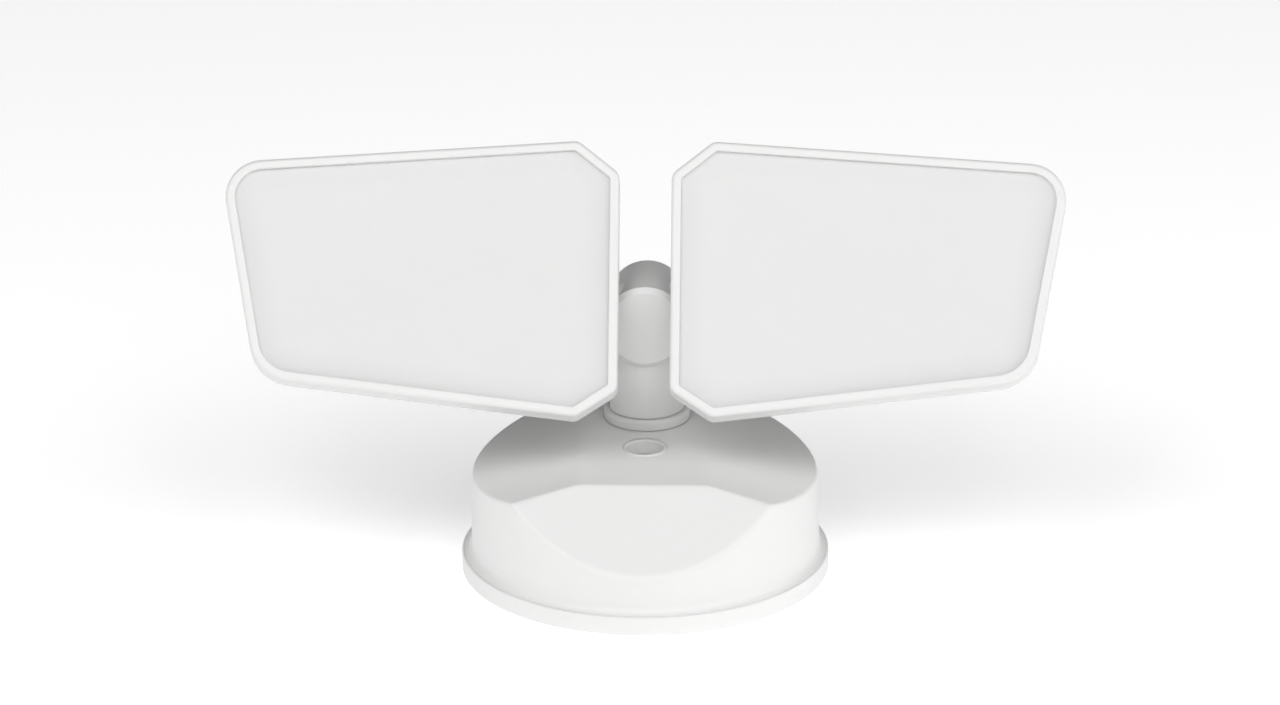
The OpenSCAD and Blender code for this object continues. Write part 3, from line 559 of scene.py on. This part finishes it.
# %% Collar
collar_hi = low_high("post_collar")[1]
collar_r, collar_top = collar_hi[0], collar_hi[2]
spigot_r = 9.0
spigot_gap = 0.1
collar_bore = spigot_r + spigot_gap
collar_line = rounded_line(
    [(collar_bore, canopy_top), (collar_r, canopy_top), (collar_r, collar_top), (collar_bore, collar_top)],
    [0.1, 0.2, 1.2, 0.3], 6, 0.1, closed=True)
collar_points = lathe(collar_line) + np.array([0.0, hub_y, 0.0])
make_piece("collar", [sweep(collar_points, True)], finish["white_plastic"], "canopy",
           ["post_collar"])

# %% Hub cap
cap_lo, cap_hi = low_high("hub_cap")
cap_rim_r = (cap_hi[0] - cap_lo[0]) / 2
cap_face_r = 13.1
cap_front = cap_lo[1]
cap_depth, cap_plug_r, cap_plug_l = 2.0, 10.2, 3.0
plug_flat_r = cap_plug_r - 0.7


def forwards(points, front):
    """Turns points drawn about Z so that Z points towards the viewer, with z = 0 at y = front."""
    x, y, z = points[..., 0], points[..., 1], points[..., 2]
    return np.stack([x, front - z, hub_z + y], -1)


cap_line = rounded_line(
    [(0, -cap_plug_l), (plug_flat_r, -cap_plug_l), (cap_plug_r, -cap_plug_l), (cap_plug_r, 0),
     (cap_rim_r, 0), (cap_face_r, cap_depth), (0, cap_depth)], [0, 0, 0.3, 0.1, 0.35, 0.6, 0], 6, 0.15)
hub_front = cap_front + cap_depth
make_piece("hub_front_cap", [sweep(forwards(lathe(cap_line), hub_front), False)],
           finish["white_plastic"], "post", ["hub_cap"])

# %% [markdown]
# ## The lamps
#
# A lamp head is a flat six-cornered box with two cut corners next to the hub and two round ones
# outside. Its outline is the same list of corners at any depth, moved inwards by a few tenths where
# the section is rounded, so housing, bezel and lens are all sections carried round that outline.

# %% Lamp outline
inner_x = low_high("right_lamp_housing")[0][0]
inner_half, inner_rise = 38.3, 3.8
low_y, high_y = inner_rise - inner_half, inner_rise + inner_half
lamp_w, lamp_low_w, cut_w = 138.5, 125.0, 14.4
low_cut, high_cut = 9.6, 11.6
low_outer, high_outer = 3.9, 3.3
lamp_corners = np.array([
    (inner_x, low_y), (inner_x + cut_w, low_y - low_cut), (inner_x + lamp_low_w, low_y + low_outer),
    (inner_x + lamp_w, high_y + high_outer), (inner_x + cut_w, high_y + high_cut), (inner_x, high_y)])
lamp_radii = np.array([4.5, 4.5, 15.5, 13.0, 4.5, 4.5])
lamp_centre = lamp_corners.mean(0)
LEAST_RADIUS = 0.5
CORNER_HOLD = 0.4


def outline(inset, steps=12):
    """The lamp's outline moved inwards by inset: each edge moves along its normal, and each corner
    keeps an arc about the same centre, with the inset taken off its radius."""
    p = lamp_corners
    edge = np.roll(p, -1, 0) - p
    normal = np.stack([edge[:, 1], -edge[:, 0]], 1) / np.linalg.norm(edge, axis=1)[:, None]
    n1, n2 = np.roll(normal, 1, 0), normal
    along = (n1 + n2) / (1 + (n1 * n2).sum(1))[:, None]
    radius = np.maximum(lamp_radii - inset, LEAST_RADIUS)
    centre = p - along * (inset + radius)[:, None]
    first = np.arctan2(n1[:, 1], n1[:, 0])
    turn = np.arccos(np.clip((n1 * n2).sum(1), -1, 1))
    t = np.linspace(0, 1, steps + 1)
    angle = first[:, None] + turn[:, None] * t
    arc = centre[:, None] + radius[:, None, None] * np.stack([np.cos(angle), np.sin(angle)], -1)
    tangent1 = np.stack([-n1[:, 1], n1[:, 0]], 1) * CORNER_HOLD
    tangent2 = np.stack([-n2[:, 1], n2[:, 0]], 1) * CORNER_HOLD
    ring = np.concatenate([arc[:, :1] - tangent1[:, None], arc, arc[:, -1:] + tangent2[:, None]], 1)
    return ring.reshape(-1, 2)


def on_lamp(x, up, out, side):
    """Lamp coordinates to the row frame: x runs away from the hub, up runs up the face, out is the
    distance in front of the hub's centre line. The lamp leans back by the tilt."""
    return np.stack([side * x,
                     hub_y + up * math.sin(tilt) - out * math.cos(tilt),
                     hub_z + up * math.cos(tilt) + out * math.sin(tilt)], -1)


def carried(profile, side):
    """Carries a profile of (inset, out) round the lamp's outline."""
    rings = np.stack([outline(inset) for inset in profile[:, 0]], 1)
    out = np.broadcast_to(profile[:, 1], rings.shape[:2])
    return on_lamp(rings[..., 0], rings[..., 1], out, side)


# %% [markdown]
# The bezel is a slim frame with a rounded front edge, whose lip stands over the lens. The lens is a
# flat opal plate, and the housing behind it is a tray with a rounded back edge. Two of the three are
# plates, so their sections run in to one point at the middle instead of closing on themselves.

# %% Lamp sections
lamp_back, lamp_front = 19.5, 31.5
lip_t, lens_t, gasket_t = 1.7, 2.0, 1.3
lens_front, lens_back = lamp_front - lip_t, lamp_front - lip_t - lens_t
seam = lens_back - gasket_t
bezel_w, bezel_rim = 3.3, 1.6
housing_t, plate_inset = 2.5, 9.0
housing_floor = lamp_back + housing_t

bezel_line = rounded_line(
    [(0, seam), (0, lamp_front), (bezel_w, lamp_front), (bezel_w, lens_front), (bezel_rim, lens_front),
     (bezel_rim, seam)], [0.25, 1.3, 0.5, 0.1, 0.1, 0.1], 6, 0.1, closed=True)
housing_line = rounded_line(
    [(plate_inset, lamp_back), (0, lamp_back), (0, seam), (housing_t, seam),
     (housing_t, housing_floor), (plate_inset, housing_floor)], [0, 3.0, 0.25, 0.1, 1.0, 0], 7, 0.1)


def plate(line, side):
    """A solid plate: the profile is carried round, and its two ends run in to the plate's middle."""
    ring = carried(line, side)
    ends = [on_lamp(*lamp_centre, line[k, 1], side) for k in (0, -1)]
    first, last = (np.broadcast_to(e, (len(ring), 1, 3)) for e in ends)
    return np.concatenate([first, ring, last], 1)


# %% [markdown]
# The painted rim shade on the lens needs points to live on, so the front of the lens has eight rings
# between the frame and the depth where the painted shade has faded. They stop there, because further
# in the outline's short cut corners would close up and cross.

# %% Lens section
# Width in millimetres over which the lens' painted rim shade fades out.
RIM_FADE = 10.5
front_insets = [13, 11.5, 10, 8.5, 7, 5.5, 4.3, 3.4]
lens_corners = [(inset, lens_front) for inset in front_insets] + [
    (bezel_rim, lens_front), (bezel_rim, lens_back), (plate_inset, lens_back)]
lens_line = rounded_line(lens_corners, [0] * len(front_insets) + [0.2, 0.2, 0], 4, 0.1)


def rim_depth(line, count):
    """How far each point lies from the lens' rim, as a share of the fading width, eased at its ends:
    3t squared minus 2t cubed. Both ends of the plate, at its middle, are 1."""
    t = np.clip((line[:, 0] - bezel_w) / RIM_FADE, 0, 1)
    eased = np.concatenate([[1.0], t * t * (3 - 2 * t), [1.0]])
    return np.repeat(eased[None], count, 0)


# %% [markdown]
# Cooling fins stand on the housing's back. Each one is a thin blade with rounded ends, cut to the
# outline of the lamp.

# %% Fin blades
fin_h, fin_t, fin_pitch = 5.0, 2.0, 8.0
fin_from, fin_stop, least_fin = 71.0, 132.0, 20.0
fin_root, fin_round = 0.5, 0.5


def span_at(x, inset):
    """Lowest and highest point of the inset outline at x."""
    ring = outline(inset)
    a, b = ring, np.roll(ring, -1, 0)
    cross = (a[:, 0] - x) * (b[:, 0] - x) < 0
    t = (x - a[cross, 0]) / (b[cross, 0] - a[cross, 0])
    ups = a[cross, 1] + t * (b[cross, 1] - a[cross, 1])
    return ups.min(), ups.max()


def fin(x, side):
    """A blade: its plan is a stadium of width fin_t, and its top edge is rounded over."""
    r = fin_t / 2
    lo, hi = span_at(x, plate_inset)
    lo, hi = lo + r, hi - r
    a = np.linspace(0, math.pi, 9)
    plan = np.concatenate([np.stack([np.cos(a), hi + 0 * a, np.sin(a)], 1),
                           np.stack([-np.cos(a), lo + 0 * a, -np.sin(a)], 1)])
    line = rounded_line([(0, -fin_root), (1, -fin_root), (1, fin_h), (0, fin_h)], [0, 0, fin_round, 0],
                        4, 0.05)
    scale, height = line[:, 0][None], line[:, 1][None]
    px = x + plan[:, 0][:, None] * r * scale
    up = plan[:, 1][:, None] + plan[:, 2][:, None] * r * scale
    return sweep(on_lamp(px, up, lamp_back - height + 0 * px, side), False)


# %% Build both lamps
fin_spots = np.arange(fin_from, inner_x + fin_stop, fin_pitch)
fin_spots = [x for x in fin_spots if np.ptp(span_at(x, plate_inset)) > least_fin]
for side, word in ((-1, "left"), (1, "right")):
    body = f"{word}_lamp"
    shells = [sweep(plate(housing_line, side), False), *(fin(x, side) for x in fin_spots)]
    make_piece(f"{word}_housing_shell", shells, finish["white_paint"], body,
               [f"{word}_lamp_housing"])
    make_piece(f"{word}_bezel_frame", [sweep(carried(bezel_line, side), True)], finish["white_plastic"],
               body, [f"{word}_lamp_bezel"])
    lens_points = plate(lens_line, side)
    make_piece(f"{word}_opal_lens", [sweep(lens_points, False)], finish["opal_lens"], body,
               [f"{word}_lens"], rim_depth(lens_line, len(lens_points)))

# %% [markdown]
# ## Light and floor
#
# A white product on a white sheet is lit by large soft sources low at the sides and in front, which
# leaves what faces straight up a little darker, so the flat tops separate from the lit walls. The
# sheet glows faintly itself: it stays white to the edge of the picture and sends light up under the
# flange and the lamps.

# %% Stage
FLOOR_HALF = 12.0
FLOOR_GAP = 0.0004
floor_mesh = bpy.data.meshes.new("floor")
floor_corners = [(x * FLOOR_HALF, y * FLOOR_HALF, 0) for x, y in ((-1, -1), (1, -1), (1, 1), (-1, 1))]
floor_mesh.from_pydata(floor_corners, [], [(0, 1, 2, 3)])
floor = bpy.data.objects.new("floor", floor_mesh)
bpy.context.scene.collection.objects.link(floor)
floor.location.z = -FLOOR_GAP
floor_mat = bpy.data.materials.new("floor_paper")
floor_mat.use_nodes = True
floor_shader = floor_mat.node_tree.nodes["Principled BSDF"]
floor_shader.inputs["Base Color"].default_value = (0.92, 0.92, 0.92, 1)
floor_shader.inputs["Roughness"].default_value = 0.9
floor_shader.inputs["Emission Color"].default_value = (1, 1, 1, 1)
floor_shader.inputs["Emission Strength"].default_value = 0.40
floor_mesh.materials.append(floor_mat)
print("floor laid")

# %% [markdown]
# Each light is placed by its compass angle from the front, positive to the right, and by its height
# angle. All stand the same distance away and have the same size, so only their power differs. A
# faint one behind keeps the far edges from going dark. None of them shows in the picture itself.

# %% Lights
LIGHT_DISTANCE = 2.2
LIGHT_SIZE = 1.3
lit_point = Vector((0, 0, 0.06))


def area_light(name, azimuth, elevation, power):
    """A square soft light at two angles in degrees, which looks at the object."""
    around, up = math.radians(azimuth), math.radians(elevation)
    out = Vector((math.sin(around) * math.cos(up), -math.cos(around) * math.cos(up), math.sin(up)))
    data = bpy.data.lights.new(name, "AREA")
    data.size = LIGHT_SIZE
    data.energy = power
    obj = bpy.data.objects.new(name, data)
    obj.location = lit_point + out * LIGHT_DISTANCE
    obj.rotation_euler = (-out).to_track_quat("-Z", "Y").to_euler()
    obj.visible_camera = False
    bpy.context.scene.collection.objects.link(obj)


area_light("front", 0, 40, 13)
area_light("right_low", 40, 20, 4.5)
area_light("right_high", 40, 50, 10)
area_light("left_high", -40, 50, 15)
area_light("right_side", 80, 20, 14)
area_light("left_side", -80, 20, 8)
area_light("rear", 180, 40, 2)
print(len(bpy.data.lights), "lights")

# %% [markdown]
# The room around is a soft grey that fades out towards the ceiling.

# %% World
world = bpy.data.worlds.new("world")
world.use_nodes = True
world_nodes, world_links = world.node_tree.nodes, world.node_tree.links
background = world_nodes["Background"]
background.inputs["Color"].default_value = (1, 1, 1, 1)
direction = world_nodes.new("ShaderNodeTexCoord").outputs["Generated"]
height = world_nodes.new("ShaderNodeSeparateXYZ")
fade = world_nodes.new("ShaderNodeMapRange")
fade.interpolation_type = "SMOOTHSTEP"
fade.inputs["From Min"].default_value = 0.25
fade.inputs["From Max"].default_value = 0.75
fade.inputs["To Min"].default_value = 0.15
fade.inputs["To Max"].default_value = 0.02
world_links.new(direction, height.inputs["Vector"])
world_links.new(height.outputs["Z"], fade.inputs["Value"])
world_links.new(fade.outputs["Result"], background.inputs["Strength"])
bpy.context.scene.world = world
bpy.context.scene.view_settings.view_transform = "Standard"
print("world fades from the horizon to the ceiling")
